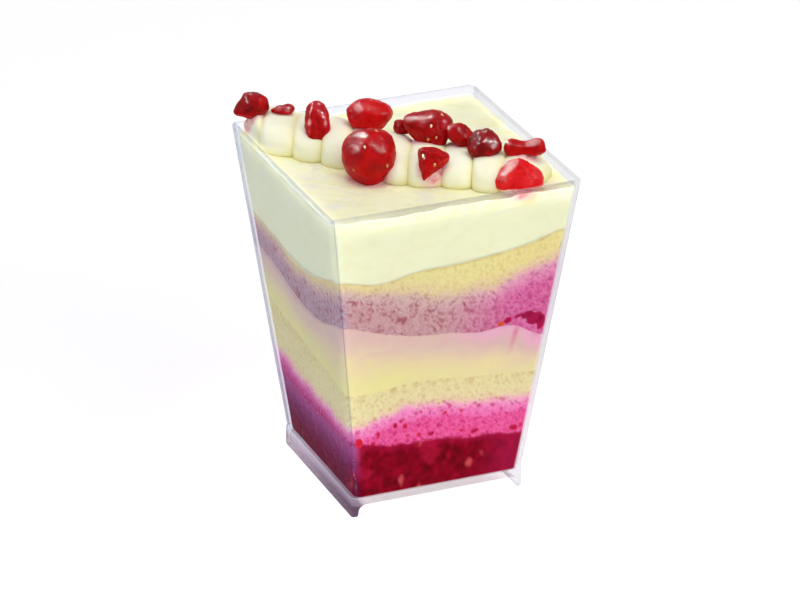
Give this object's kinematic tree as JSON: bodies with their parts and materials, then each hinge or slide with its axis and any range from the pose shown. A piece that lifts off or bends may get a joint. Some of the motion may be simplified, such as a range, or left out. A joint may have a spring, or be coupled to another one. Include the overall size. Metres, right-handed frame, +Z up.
{
  "type": "layered trifle in a square cup",
  "caption": "Layered fruit trifle in a clear square tapered cup: compote, sponge, custard, sponge, whipped cream, a piped cream rope on the diagonal and red fruit pieces.",
  "frame": {"origin": "centre of the cup's square footprint, on the plane that its two rails rest on", "axes": "+Z up, out of the cup's mouth; +X towards the right wall seen from the front; the front wall, under the rails' ends, faces -Y; the rails run along Y"},
  "size_m": [0.065, 0.065, 0.0949],
  "materials": {
    "clear_plastic": "clear polished moulded plastic",
    "compote": "moist red fruit in jelly",
    "sponge_lower": "open crumb soaked pink from below",
    "custard": "smooth set custard",
    "sponge_upper": "open crumb soaked mauve from below",
    "cream": "soft whipped cream",
    "piping": "piped whipped cream",
    "fruit": "glazed wet fruit"
  },
  "bodies": {
    "root": {"cup": "clear_plastic", "compote": "compote", "sponge_lower": "sponge_lower", "custard": "custard", "sponge_upper": "sponge_upper", "cream": "cream", "piping": "piping", "fruit_01": "fruit", "fruit_02": "fruit", "fruit_03": "fruit", "fruit_04": "fruit", "fruit_05": "fruit", "fruit_06": "fruit", "fruit_07": "fruit", "fruit_08": "fruit", "fruit_09": "fruit", "fruit_10": "fruit", "fruit_11": "fruit", "fruit_12": "fruit"}
  },
  "joints": []
}
